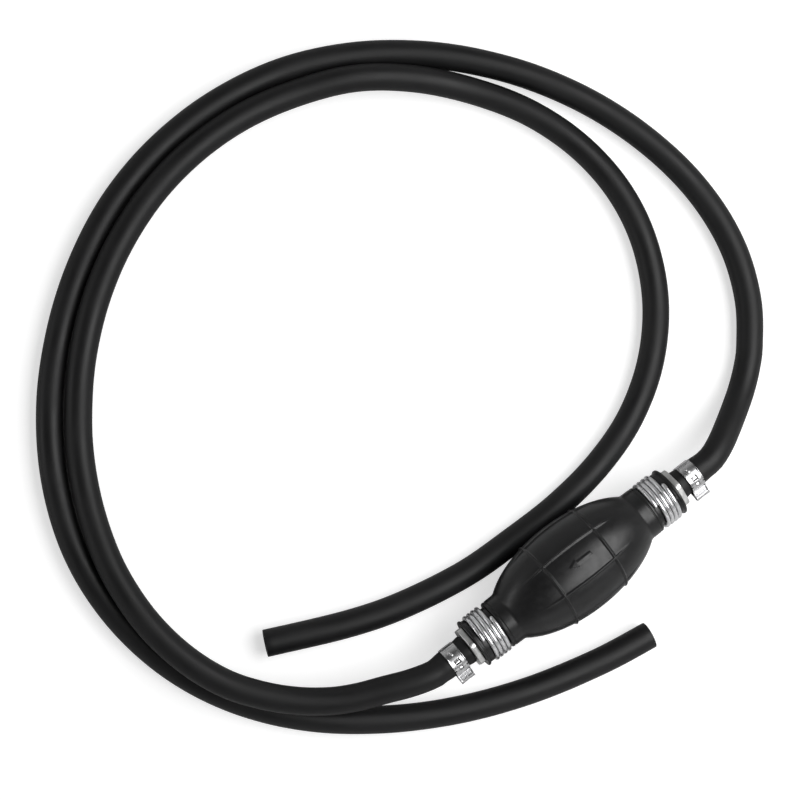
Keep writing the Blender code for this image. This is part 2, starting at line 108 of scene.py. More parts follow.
OUTLET_ROUTE = [
    (-0.0925, 0.0012, 0.0244),
    (-0.1015, 0.0042, 0.0237),
    (-0.1120, 0.0086, 0.0224),
    (-0.1240, 0.0135, 0.0212),
    (-0.1360, 0.0200, 0.0205),
    (-0.1490, 0.0300, 0.0202),
    (-0.1616, 0.0432, 0.0201),
    (-0.1723, 0.0586, 0.0201),
    (-0.1802, 0.0779, 0.0201),
    (-0.1845, 0.0990, 0.0192),
    (-0.1850, 0.1200, 0.0177),
    (-0.1821, 0.1420, 0.0156),
    (-0.1747, 0.1660, 0.0132),
    (-0.1641, 0.1886, 0.0119),
    (-0.1514, 0.2081, 0.0118),
    (-0.1338, 0.2289, 0.0127),
    (-0.1113, 0.2486, 0.0133),
    (-0.0855, 0.2646, 0.0129),
    (-0.0568, 0.2760, 0.0127),
    (-0.0271, 0.2817, 0.0128),
    (0.0035, 0.2817, 0.0124),
    (0.0338, 0.2757, 0.0119),
    (0.0631, 0.2642, 0.0130),
    (0.0889, 0.2463, 0.0108),
    (0.1108, 0.2241, 0.0070),
    (0.1280, 0.1979, 0.0070),
    (0.1386, 0.1687, 0.0070),
    (0.1415, 0.1385, 0.0070),
    (0.1360, 0.1090, 0.0070),
    (0.1218, 0.0806, 0.0070),
    (0.1006, 0.0574, 0.0070),
    (0.0744, 0.0408, 0.0070),
    (0.0460, 0.0315, 0.0070),
    (0.0160, 0.0274, 0.0070),
    (-0.0140, 0.0272, 0.0070),
    (-0.0440, 0.0286, 0.0070),
    (-0.0783, 0.0352, 0.0070),
    (-0.1067, 0.0446, 0.0070),
    (-0.1448, 0.0616, 0.0070),
]
ROUTES = {"inlet": INLET_ROUTE, "outlet": OUTLET_ROUTE}
HOSE_SIDES = 40
HOSE_STEP = 3.6 * MM

# The hose over the barbs: distance from the middle of the pump and outer radius, in millimetres.
SOCKET_PROFILE = (
    (67.0, 7.35),
    (67.15, 7.6),
    (67.5, 7.72),
    (68.2, 7.74),
    (69.0, 7.68),
    (70.0, 7.52),
    (71.0, 7.36),
    (71.8, 7.24),
    (73.5, 7.2),
    (75.6, 7.22),
    (77.5, 7.2),
    (79.4, 7.22),
    (80.2, 7.28),
    (81.5, 7.22),
    (83.0, 7.1),
)
STRAIGHT_FROM = 84.3 * MM
STRAIGHT_TO = 87.3 * MM

# The camera looks at VIEW_CENTRE from nearly overhead.
VIEW_CENTRE = Vector((-0.01689, 0.11867, 0.007))
VIEW_DISTANCE = 1.01633
VIEW_TILT = math.radians(-8.9)
VIEW_ROLL = math.radians(-36.714)
KEY_TURN = math.radians(-37.0)

# The moulded pattern: eight ribs, turned about the axis so that none lies straight up.
RIB_COUNT = 8
RIB_PITCH = math.tau / RIB_COUNT
RIB_ROLL = math.radians(28.5)
STEPS_PER_RIB = 24
ARROW_LINE = math.radians(7.0)
CREASE_X = 40.7 * MM
INNER_RADIUS = 21.8 * MM
INNER_HALF_AXIS = 46.0 * MM

# A neck from the belly's crease to its mouth: (x, radius, rounding) in millimetres.
NECK_RADIUS = 11.45
MOUTH_LIFT = 1.0
NECK_START = [
    (40.75, 13.45, 1.5),
    (46.3, 13.4, 0.2),
    (46.5, 13.05, 0.15),
    (46.95, 13.05, 0.15),
    (47.15, 13.35, 0.2),
    (48.35, 13.25, 0.5),
    (48.7, NECK_RADIUS, 0.4),
    (53.0, NECK_RADIUS, 0.0),
]
NECK_SHOULDER = [(round(58.0 + 0.4 * step, 2), NECK_RADIUS, 0.0) for step in range(8)]
NECK_MOUTH = [
    (61.2, NECK_RADIUS + MOUTH_LIFT, 0.1),
    (61.95, 12.5, 0.15),
    (62.15, 13.2, 0.3),
    (63.45, 13.3, 0.5),
    (63.6, 9.2, 0.3),
]

FITTING_STEPS = 96
FLANGE_WIDTH = 3.0 * MM
FLANGE_FROM = 63.8 * MM
FLANGE_ROLL = math.radians(25.0)

# The neck clamp's wire and the band clamp's place on the hose.
WIRE_CENTRE = 54.7 * MM
WIRE_COIL_RADIUS = 12.6 * MM
WIRE_START = math.radians(5.0)
WIRE_TURNS = 4.05
BAND_CENTRE = 75.6 * MM
BAND_CELLS = 28
BAND_UNDER_RADIUS = 7.55 * MM
BAND_OVER_RADIUS = 8.1 * MM
BAND_STEP = 0.3


def length(name, description, default):
    return bpy.props.FloatProperty(
        name=name,
        description=description,
        default=default,
        min=0.0,
        precision=5,
        unit="LENGTH",
        subtype="DISTANCE",
    )


def colour(name, description, default):
    return bpy.props.FloatVectorProperty(
        name=name,
        description=description,
        default=default,
        min=0.0,
        max=1.0,
        size=3,
        subtype="COLOR",
    )


class BulbSettings(bpy.types.PropertyGroup):
    radius: length("Belly radius", "Outer radius of the bulb at its middle", 24.4 * MM)
    half_axis: length("Half axis", "Half the length of the ellipse that the belly follows", 48.8 * MM)
    rib_height: length("Rib height", "How far the moulded ribs stand proud", 0.7 * MM)
    rib_width: length("Rib half width", "Half the width of a moulded rib", 0.95 * MM)
    ring_x: length("Ring rib place", "Distance of each ring rib from the middle", 15.8 * MM)
    arrow_height: length("Arrow height", "How far the flow arrow stands proud", 0.4 * MM)
    rubber: colour("Rubber", "Colour of the moulded rubber", (0.0075, 0.0075, 0.0078))


class FittingSettings(bpy.types.PropertyGroup):
    across_flats: length("Across flats", "Width of the hexagonal flange", 20.6 * MM)
    metal: colour("Metal", "Colour of the turned aluminium", (0.80, 0.80, 0.79))


class ClampSettings(bpy.types.PropertyGroup):
    wire_radius: length("Wire radius", "Radius of the neck clamp's wire", 1.1 * MM)
    wire_pitch: length("Wire pitch", "Distance between the turns of the neck clamp", 2.45 * MM)
    strip_thickness: length("Strip thickness", "Thickness of the band clamp's strip", 0.5 * MM)
    strip_width: length("Strip width", "Width of the band clamp's strip", 7.8 * MM)
    zinc: colour("Zinc", "Colour of the zinc plating", (0.90, 0.90, 0.91))


class HoseSettings(bpy.types.PropertyGroup):
    radius: length("Hose radius", "Outer radius of the hose", 6.95 * MM)
    bore_radius: length("Bore radius", "Radius of the hose's bore", 4.0 * MM)
    rubber: colour("Rubber", "Colour of the extruded rubber", (0.0068, 0.0068, 0.0071))


class StageSettings(bpy.types.PropertyGroup):
    floor: colour("Floor", "Colour of the pale floor", (0.58, 0.58, 0.58))
    glow: bpy.props.FloatProperty(
        name="Floor glow", description="Light that the backlit floor gives off", default=0.62, min=0.0
    )
    lens: length("Lens", "Focal length of the camera", 0.09)


# ---------------------------------------------------------------- shapes


def rounded(corners, steps=4):
    """A closed outline through (x, radius, rounding) corners, with each corner rounded off."""
    points = []
    for index, (x, r, rounding) in enumerate(corners):
        here = Vector((x, r))
        if not rounding:
            points.append(here)
            continue
        back = Vector(corners[index - 1][:2]) - here
        ahead = Vector(corners[(index + 1) % len(corners)][:2]) - here
        cut = min(rounding, 0.49 * back.length, 0.49 * ahead.length)
        start = here + back.normalized() * cut
        end = here + ahead.normalized() * cut
        for step in range(steps + 1):
            t = step / steps
            points.append(start.lerp(here, t).lerp(here.lerp(end, t), t))
    return points


def spun(outline, steps):
    """A closed outline of (x, radius) points in metres, spun about the flow axis."""
    shape = bmesh.new()
    points = [shape.verts.new((x, 0.0, AXIS_Z + r)) for x, r in outline]
    edges = [shape.edges.new(pair) for pair in zip(points, points[1:] + points[:1])]
    bmesh.ops.spin(
        shape,
        geom=points + edges,
        cent=(0.0, 0.0, AXIS_Z),
        axis=(1.0, 0.0, 0.0),
        angle=math.tau,
        steps=steps,
        use_merge=True,
    )
    bmesh.ops.remove_doubles(shape, verts=shape.verts, dist=1e-7)
    bmesh.ops.recalc_face_normals(shape, faces=shape.faces)
    return shape


def piece(name, shape, material, body=FIXED, sharp=35.0):
    """Turns a bmesh into a finished object that rides on a body."""
    mesh = bpy.data.meshes.new(name)
    shape.to_mesh(mesh)
    shape.free()
    mesh.shade_smooth()
    mesh.set_sharp_from_angle(angle=math.radians(sharp))
    mesh.materials.append(material)
    made = bpy.data.objects.new(name, mesh)
    bpy.context.scene.collection.objects.link(made)
    if body:
        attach(made, body)
    return made


def smoothstep(low, high, value):
    t = min(1.0, max(0.0, (value - low) / (high - low)))
    return t * t * (3.0 - 2.0 * t)


def ridge(distance, half_width):
    """A rounded rib's height, from 1 on its middle line to 0 at its edge."""
    if abs(distance) >= half_width:
        return 0.0
    return 0.5 * (1.0 + math.cos(math.pi * distance / half_width))


def around(x, radius, angle):
    """The point at x, at that radius and angle from straight up towards +Y."""
    return Vector((x, radius * math.sin(angle), AXIS_Z + radius * math.cos(angle)))


# ---------------------------------------------------------------- materials


def shader_of(name):
    material = bpy.data.materials.new(name)
    material.use_nodes = True
    nodes = material.node_tree.nodes
    return material, nodes, material.node_tree.links, nodes["Principled BSDF"]


def coordinates(nodes, links, scale, attribute=None, location=(0.0, 0.0, 0.0)):
    """Object coordinates, or a named attribute of the piece, through a Mapping node."""
    mapping = nodes.new("ShaderNodeMapping")
    mapping.inputs["Scale"].default_value = scale
    mapping.inputs["Location"].default_value = location
    if attribute:
        source = nodes.new("ShaderNodeAttribute")
        source.attribute_name = attribute
        links.new(source.outputs["Vector"], mapping.inputs["Vector"])
    else:
        source = nodes.new("ShaderNodeTexCoord")
        links.new(source.outputs["Object"], mapping.inputs["Vector"])
    return mapping.outputs["Vector"]


def noise(nodes, links, vector, scale, detail=4.0, rough=0.55):
    texture = nodes.new("ShaderNodeTexNoise")
    texture.inputs["Scale"].default_value = scale
    texture.inputs["Detail"].default_value = detail
    texture.inputs["Roughness"].default_value = rough
    links.new(vector, texture.inputs["Vector"])
    return texture.outputs["Fac"]


def spread(nodes, links, value, low, high, start=0.35, end=0.65):
    """Maps the middle of a noise to a range of values."""
    ramp = nodes.new("ShaderNodeMapRange")
    ramp.inputs["From Min"].default_value = start
    ramp.inputs["From Max"].default_value = end
    ramp.inputs["To Min"].default_value = low
    ramp.inputs["To Max"].default_value = high
    links.new(value, ramp.inputs["Value"])
    return ramp.outputs["Result"]


def tint(nodes, links, value, dark, light, start=0.3, end=0.7):
    ramp = nodes.new("ShaderNodeValToRGB")
    ramp.color_ramp.elements[0].position = start
    ramp.color_ramp.elements[0].color = (*dark, 1.0)
    ramp.color_ramp.elements[1].position = end
    ramp.color_ramp.elements[1].color = (*light, 1.0)
    links.new(value, ramp.inputs["Fac"])
    return ramp.outputs["Color"]


def bump(nodes, links, height, distance, strength, normal=None):
    node = nodes.new("ShaderNodeBump")
    node.inputs["Distance"].default_value = distance
    node.inputs["Strength"].default_value = strength
    links.new(height, node.inputs["Height"])
    if normal is not None:
        links.new(normal, node.inputs["Normal"])
    return node.outputs["Normal"]


def scaled(rgb, factor):
    return tuple(min(1.0, channel * factor) for channel in rgb)


def moulded_rubber(rgb):
    """Satin black rubber as it leaves the mould: faint bloom, fine grain and a few rubbed patches."""
    material, nodes, links, shader = shader_of("moulded_rubber")
    place = coordinates(nodes, links, (1.0, 1.0, 1.0))
    bloom = noise(nodes, links, place, 70.0, 5.0, 0.6)
    grain = noise(nodes, links, place, 2600.0, 3.0, 0.6)
    flow = noise(nodes, links, place, 320.0, 4.0, 0.6)
    links.new(tint(nodes, links, bloom, scaled(rgb, 0.8), scaled(rgb, 1.45)), shader.inputs["Base Color"])
    links.new(spread(nodes, links, flow, 0.30, 0.40), shader.inputs["Roughness"])
    coarse = bump(nodes, links, flow, 0.00005, 0.4)
    links.new(bump(nodes, links, grain, 0.000012, 0.5, coarse), shader.inputs["Normal"])
    shader.inputs["Specular IOR Level"].default_value = 0.42
    return material


def extruded_rubber(rgb):
    """Satin black hose skin with the faint lengthwise lines that the die leaves."""
    material, nodes, links, shader = shader_of("extruded_rubber")
    place = coordinates(nodes, links, (6.0, 420.0, 420.0), "straight")
    lines = noise(nodes, links, place, 1.0, 3.0, 0.6)
    broad = coordinates(nodes, links, (30.0, 90.0, 90.0), "straight")
    patches = noise(nodes, links, broad, 1.0, 4.0, 0.6)
    grain = noise(nodes, links, coordinates(nodes, links, (1.0, 1.0, 1.0)), 2400.0, 3.0, 0.6)
    links.new(tint(nodes, links, patches, scaled(rgb, 0.8), scaled(rgb, 1.5)), shader.inputs["Base Color"])
    links.new(spread(nodes, links, patches, 0.44, 0.56), shader.inputs["Roughness"])
    drawn = bump(nodes, links, lines, 0.00005, 0.3)
    links.new(bump(nodes, links, grain, 0.000012, 0.45, drawn), shader.inputs["Normal"])
    shader.inputs["Specular IOR Level"].default_value = 0.3
    return material


def turned_aluminium(rgb):
    """Satin aluminium with the lathe's rings and a thin dull oxide."""
    material, nodes, links, shader = shader_of("turned_aluminium")
    place = coordinates(nodes, links, (1.0, 1.0, 1.0))
    oxide = noise(nodes, links, place, 260.0, 4.0, 0.6)
    rings = noise(nodes, links, coordinates(nodes, links, (2200.0, 60.0, 60.0)), 1.0, 3.0, 0.5)
    grain = noise(nodes, links, place, 1900.0, 3.0, 0.6)
    links.new(tint(nodes, links, oxide, scaled(rgb, 0.82), rgb), shader.inputs["Base Color"])
    links.new(spread(nodes, links, oxide, 0.32, 0.46), shader.inputs["Roughness"])
    turned_lines = bump(nodes, links, rings, 0.000008, 0.4)
    links.new(bump(nodes, links, grain, 0.000006, 0.4, turned_lines), shader.inputs["Normal"])
    shader.inputs["Metallic"].default_value = 1.0
    return material


def zinc_plate(name, rgb, smooth, dull, scale):
    """Bright zinc plating with fine drawn lines and slightly clouded patches."""
    material, nodes, links, shader = shader_of(name)
    place = coordinates(nodes, links, (1.0, 1.0, 1.0))
    cloud = noise(nodes, links, place, 260.0, 4.0, 0.5)
    drawn = noise(nodes, links, coordinates(nodes, links, scale), 1.0, 3.0, 0.6)
    links.new(tint(nodes, links, cloud, scaled(rgb, 0.88), rgb), shader.inputs["Base Color"])
    links.new(spread(nodes, links, cloud, smooth, dull), shader.inputs["Roughness"])
    links.new(bump(nodes, links, drawn, 0.000002, 0.5), shader.inputs["Normal"])
    shader.inputs["Metallic"].default_value = 1.0
    return material


def plain_finish(name, rgb, smooth, dull, metallic, grain_scale):
    """A hidden piece's finish: a mottled colour, uneven gloss and a fine grain."""
    material, nodes, links, shader = shader_of(name)
    place = coordinates(nodes, links, (1.0, 1.0, 1.0))
    mottle = noise(nodes, links, place, 300.0, 4.0, 0.6)
    grain = noise(nodes, links, place, grain_scale, 3.0, 0.6)
    links.new(tint(nodes, links, mottle, scaled(rgb, 0.85), rgb), shader.inputs["Base Color"])
    links.new(spread(nodes, links, mottle, smooth, dull), shader.inputs["Roughness"])
    links.new(bump(nodes, links, grain, 0.00004, 0.4), shader.inputs["Normal"])
    shader.inputs["Metallic"].default_value = metallic
    return material


# ---------------------------------------------------------------- stage


class PUMP_OT_stage(bpy.types.Operator):
    """Sets the camera, a pale floor and soft studio lights"""

    bl_idname = "pump.stage"
    bl_label = "Set Stage"

    def execute(self, context):
        settings = context.scene.pump_stage
        lens = bpy.data.cameras.new("camera")
        lens.sensor_width = 36.0
        lens.lens = settings.lens / MM
        lens.clip_start = 0.05
        camera = bpy.data.objects.new("camera", lens)
        turn = Matrix.Rotation(VIEW_TILT, 4, "Y") @ Matrix.Rotation(VIEW_ROLL, 4, "Z")
        back = turn @ Vector((0.0, 0.0, VIEW_DISTANCE))
        camera.matrix_world = Matrix.Translation(VIEW_CENTRE + back) @ turn
        context.scene.collection.objects.link(camera)
        context.scene.camera = camera
        self.floor(context, settings)
        self.lights(context)
        return {"FINISHED"}

    def floor(self, context, settings):
        shape = bmesh.new()
        bmesh.ops.create_grid(shape, x_segments=1, y_segments=1, size=2.0)
        bmesh.ops.translate(shape, verts=shape.verts, vec=(0.0, 0.1, -0.00002))
        material, nodes, links, shader = shader_of("floor_paper")
        fibre = noise(nodes, links, coordinates(nodes, links, (1.0, 1.0, 1.0)), 400.0, 3.0, 0.5)
        shade = tint(nodes, links, fibre, scaled(settings.floor, 0.995), settings.floor)
        links.new(shade, shader.inputs["Base Color"])
        shader.inputs["Emission Color"].default_value = (1.0, 1.0, 1.0, 1.0)
        seen = nodes.new("ShaderNodeLightPath")
        glow = nodes.new("ShaderNodeMath")
        glow.operation = "MULTIPLY"
        glow.inputs[1].default_value = settings.glow
        links.new(seen.outputs["Is Camera Ray"], glow.inputs[0])
        links.new(glow.outputs["Value"], shader.inputs["Emission Strength"])
        shader.inputs["Roughness"].default_value = 0.9
        shader.inputs["Specular IOR Level"].default_value = 0.2
        mesh = bpy.data.meshes.new("floor")
        shape.to_mesh(mesh)
        shape.free()
        mesh.materials.append(material)
        floor = bpy.data.objects.new("floor", mesh)
        context.scene.collection.objects.link(floor)

    def lights(self, context):
        world = bpy.data.worlds.new("studio")
        world.use_nodes = True
        back = world.node_tree.nodes["Background"]
        back.inputs["Color"].default_value = (1.0, 1.0, 1.0, 1.0)
        nodes = world.node_tree.nodes
        links = world.node_tree.links
        place = nodes.new("ShaderNodeTexCoord")
        parts = nodes.new("ShaderNodeSeparateXYZ")
        links.new(place.outputs["Generated"], parts.inputs["Vector"])
        # The room is bright low down and dark overhead.
        links.new(spread(nodes, links, parts.outputs["Z"], 0.50, 0.08, 0.05, 0.70), back.inputs["Strength"])
        context.scene.world = world
        context.scene.view_settings.view_transform = "Standard"
        for name, place, aim, size, power in (
            ("key", (0.62, -0.36, 1.2), None, (1.1, 1.4), 24.0),
            ("side", (-0.2, -1.5, 0.55), (0.0, 0.05, 0.0), (1.6, 0.35), 1.2),
            ("rim", (-1.3, 1.1, 0.55), (0.0, 0.1, 0.0), (1.2, 0.25), 3.0),
        ):
            lamp = bpy.data.lights.new(name, "AREA")
            lamp.shape = "RECTANGLE"
            lamp.size, lamp.size_y = size
            lamp.energy = power
            light = bpy.data.objects.new(name, lamp)
            light.location = place
            if aim:
                light.rotation_euler = (Vector(aim) - Vector(place)).to_track_quat("-Z", "Y").to_euler()
            else:
                light.rotation_euler = (0.0, 0.0, KEY_TURN)
            context.scene.collection.objects.link(light)


# ---------------------------------------------------------------- hoses


def smooth_route(points, step):
    """Points about a step apart on a Catmull-Rom curve through the route's own points."""
    padded = [points[0]] + points + [points[-1]]
    fine = []
    for index in range(1, len(padded) - 2):
        a, b, c, d = (Vector(point) for point in padded[index - 1 : index + 3])
        for part in range(20):
            t = part / 20
            fine.append(
                0.5
                * (
                    2 * b
                    + (c - a) * t
                    + (2 * a - 5 * b + 4 * c - d) * t**2
                    + (3 * b - a - 3 * c + d) * t**3
                )
            )
    fine.append(Vector(points[-1]))
    total = sum((b - a).length for a, b in zip(fine, fine[1:]))
    steps = round(total / step)
    chosen = [fine[0]]
    travelled = 0.0
    for a, b in zip(fine, fine[1:]):
        span = (b - a).length
        while len(chosen) < steps and travelled + span >= len(chosen) * total / steps:
            chosen.append(a.lerp(b, (len(chosen) * total / steps - travelled) / span))
        travelled += span
    return chosen + [fine[-1]]


class PUMP_OT_hoses(bpy.types.Operator):
    """Lays both hoses, from the swollen socket over the barbs to the cut end"""

    bl_idname = "pump.hoses"
    bl_label = "Lay Hoses"

    def execute(self, context):
        settings = context.scene.pump_hose
        skin = extruded_rubber(settings.rubber)
        for name, side in SIDES.items():
            self.lay(name, side, settings, skin)
        return {"FINISHED"}

    def stations(self, side, route, settings):
        """Centre points and outer radii, from the flange to the cut end."""
        places = []
        for x, radius in SOCKET_PROFILE:
            places.append((Vector((side * x * MM, 0.0, AXIS_Z)), radius * MM))
        start = Vector((side * STRAIGHT_FROM, 0.0, AXIS_Z))
        lead = Vector((side * STRAIGHT_TO, 0.0, AXIS_Z))
        laid = [start] + smooth_route([tuple(lead)] + route, HOSE_STEP)
        travelled = 0.0
        for index, place in enumerate(laid):
            travelled += (place - laid[index - 1]).length if index else 0.0
            wander = 1.0 + 0.004 * math.sin(travelled * 61.0) + 0.003 * math.sin(travelled * 143.0 + side)
            places.append((place, settings.radius * min(1.0, wander)))
        return places

    def lay(self, name, side, settings, skin):
        places = self.stations(side, ROUTES[name], settings)
        centres = [place for place, _ in places]
        turns = self.frames(centres)
        outer = list(zip(centres, turns, [radius for _, radius in places]))
        end, end_turn, end_radius = outer[-1]
        way = end_turn @ Vector((0.0, 0.0, 1.0))
        bore = settings.bore_radius
        round_off = 0.3 * MM
        rings = outer[:-1]
        rings += [
            (end - way * round_off, end_turn, end_radius),
            (end - way * round_off * 0.3, end_turn, end_radius - round_off * 0.25),
            (end, end_turn, end_radius - round_off),
            (end, end_turn, bore + round_off),
            (end - way * round_off * 0.5, end_turn, bore + 0.05 * MM),
            (end - way * round_off, end_turn, bore),
        ]
        rings += [(centre, turn, bore) for centre, turn, _ in reversed(outer[:-1])]
        shape = bmesh.new()
        straight = shape.verts.layers.float_vector.new("straight")
        first = bmesh.ops.create_circle(shape, cap_ends=False, segments=HOSE_SIDES, radius=1.0)["verts"]
        ring_verts = self.ordered(first)
        unit = [vert.co.copy() for vert in ring_verts]
        travelled = 0.0
        last = None
        for index, (centre, turn, radius) in enumerate(rings):
            if index:
                edges = [
                    next(edge for edge in vert.link_edges if edge.other_vert(vert) is ahead)
                    for vert, ahead in zip(ring_verts, ring_verts[1:] + ring_verts[:1])
                ]
                made = bmesh.ops.extrude_edge_only(shape, edges=edges)["geom"]
                fresh = {item for item in made if isinstance(item, bmesh.types.BMVert)}
                ring_verts = [
                    next(
                        edge.other_vert(vert)
                        for edge in vert.link_edges
                        if edge.other_vert(vert) in fresh
                    )
                    for vert in ring_verts
                ]
                heading = 1.0 if (centre - last).dot(turn @ Vector((0.0, 0.0, 1.0))) >= 0 else -1.0
                travelled += heading * (centre - last).length
            last = centre
            for vert, corner in zip(ring_verts, unit):
                vert.co = centre + turn @ (corner * radius)
                vert[straight] = (travelled, corner.x * radius, corner.y * radius)
        boundary = [edge for edge in shape.edges if edge.is_boundary]
        bmesh.ops.bridge_loops(shape, edges=boundary)
        bmesh.ops.recalc_face_normals(shape, faces=shape.faces)
        hose = piece(f"{name}_hose_tube", shape, skin)
        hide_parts(f"{name}_hose", f"{name}_hose_socket")

    def ordered(self, verts):
        """A circle's points in their order round it."""
        return sorted(verts, key=lambda vert: math.atan2(vert.co.y, vert.co.x))

    def frames(self, centres):
        """A rotation for each station that never twists about the hose."""
        turns = []
        across = Vector((0.0, 0.0, 1.0))
        for index, centre in enumerate(centres):
            behind = centres[max(0, index - 1)]
            ahead = centres[min(len(centres) - 1, index + 1)]
            way = (ahead - behind).normalized()
            across = (across - way * across.dot(way)).normalized()
            turns.append(Matrix((across, way.cross(across), way)).transposed())
        return turns


# ---------------------------------------------------------------- bulb


class PUMP_OT_bulb(bpy.types.Operator):
    """Moulds the bulb's rubber skin with its ribs, rings, necks and flow arrow"""

    bl_idname = "pump.bulb"
    bl_label = "Mould Bulb"

    def execute(self, context):
        settings = context.scene.pump_bulb
        self.settings = settings
        shape = spun(self.outline(settings), RIB_COUNT * STEPS_PER_RIB)
        self.gather(shape)
        self.wrap_mouth(shape)
        self.refine_arrow(shape)
        self.emboss(shape)
        skin = piece("bulb_skin", shape, moulded_rubber(settings.rubber), None, 50.0)
        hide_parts("bulb", "squeeze_panel")
        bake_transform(skin)
        return {"FINISHED"}

    def belly(self, x):
        settings = self.settings
        return settings.radius * math.sqrt(max(0.0, 1.0 - (x / settings.half_axis) ** 2))

    def hollow(self, x):
        return INNER_RADIUS * math.sqrt(max(0.0, 1.0 - (x / INNER_HALF_AXIS) ** 2))

    def outline(self, settings):
        """The wall's closed section: outside from the outlet to the inlet, then back along the inside."""
        stops = []
        x = 0.0
        while x < CREASE_X - 1.6 * MM:
            stops.append(x)
            near_ring = abs(x - settings.ring_x) < 1.5 * MM
            x += 0.22 * MM if near_ring else 0.8 * MM
        half = [(x, self.belly(x), 0.0) for x in stops]
        neck = NECK_START + NECK_SHOULDER + NECK_MOUTH
        half += [(x * MM, r * MM, rounding * MM) for x, r, rounding in neck]
        inner = [(43.0 * MM, 9.2 * MM, 1.5 * MM)]
        inner += [(x * MM, self.hollow(x * MM), 0.0) for x in (39.0, 34.0, 29.0, 24.0, 18.0, 12.0, 6.0)]
        right = half + inner
        left = [(-x, r, rounding) for x, r, rounding in reversed(right) if x > 0.0]
        split = len(inner)
        inner_left = left[:split]
        outer_left = left[split:]
        middle = [(0.0, self.hollow(0.0), 0.0)]
        return rounded(outer_left + right + middle + inner_left)

    def wrap_mouth(self, shape):
        """Lets the mouth's shoulder follow the wire clamp's last turn round the neck."""
        for vert in shape.verts:
            radius = math.hypot(vert.co.y, vert.co.z - AXIS_Z)
            x = abs(vert.co.x)
            if not (58.2 * MM < x < 61.0 * MM and radius > 11.0 * MM):
                continue
            angle = math.atan2(vert.co.y, vert.co.z - AXIS_Z)
            tip = math.radians(27.0 if vert.co.x > 0 else 2.0)
            turn = ((angle - tip) / math.tau) % 1.0
            past = turn if vert.co.x > 0 else 1.0 - turn
            shoulder = (58.35 + 2.45 * past) * MM
            fill = smoothstep(shoulder, shoulder + 0.35 * MM, x)
            vert.co = around(vert.co.x, (NECK_RADIUS + MOUTH_LIFT * fill) * MM, angle)

    def gather(self, shape):
        """Crowds the lengthwise rows of points towards the ribs, and turns the pattern into place."""
        for vert in shape.verts:
            radius = math.hypot(vert.co.y, vert.co.z - AXIS_Z)
            angle = math.atan2(vert.co.y, vert.co.z - AXIS_Z)
            place = (angle + RIB_PITCH / 2) % RIB_PITCH - RIB_PITCH / 2
            u = place / RIB_PITCH
            moved = RIB_PITCH * (0.18 * u + 0.82 * 4.0 * u**3)
            vert.co = around(vert.co.x, radius, angle - place + moved + RIB_ROLL)

    def refine_arrow(self, shape):
        """Splits the faces under the flow arrow so that its edges come out crisp."""
        chosen = set()
        for face in shape.faces:
            middle = face.calc_center_median()
            angle = math.degrees(math.atan2(middle.y, middle.z - AXIS_Z))
            radius = math.hypot(middle.y, middle.z - AXIS_Z)
            outside = radius > self.belly(middle.x) - 0.5 * MM
            if outside and abs(middle.x) < 10.0 * MM and -4.0 < angle < 18.0:
                chosen.update(face.edges)
        bmesh.ops.subdivide_edges(shape, edges=list(chosen), cuts=3, use_grid_fill=True)

    def arrow(self, x, offset):
        """The flow arrow's height at x along the bulb and an offset across it, pointing to the outlet."""
        edge = 0.45 * MM
        tip = -6.2 * MM
        base = -1.2 * MM
        end = 7.6 * MM
        if x < base:
            inside = 2.3 * MM * (x - tip) / (base - tip) - abs(offset)
        else:
            inside = min(1.05 * MM - abs(offset), end - x)
        return smoothstep(0.0, edge, inside)

    def emboss(self, shape):
        """Raises the rings, ribs and arrow from the belly's plain surface."""
        settings = self.settings
        for vert in shape.verts:
            x = vert.co.x
            if abs(x) > 40.0 * MM:
                continue
            plain = self.belly(x)
            radius = math.hypot(vert.co.y, vert.co.z - AXIS_Z)
            if radius < plain - 0.9 * MM:
                continue
            angle = math.atan2(vert.co.y, vert.co.z - AXIS_Z)
            place = (angle - RIB_ROLL + RIB_PITCH / 2) % RIB_PITCH - RIB_PITCH / 2
            fade = 1.0 - smoothstep(15.0 * MM, 29.5 * MM, abs(x))
            across = ridge(place * plain, settings.rib_width)
            along = ridge(abs(x) - settings.ring_x, 1.15 * settings.rib_width)
            lift = settings.rib_height * max(across * fade, along)
            lift += settings.arrow_height * self.arrow(x, (angle - ARROW_LINE) * plain)
            vert.co = around(x, plain + lift, angle)


# ---------------------------------------------------------------- fittings


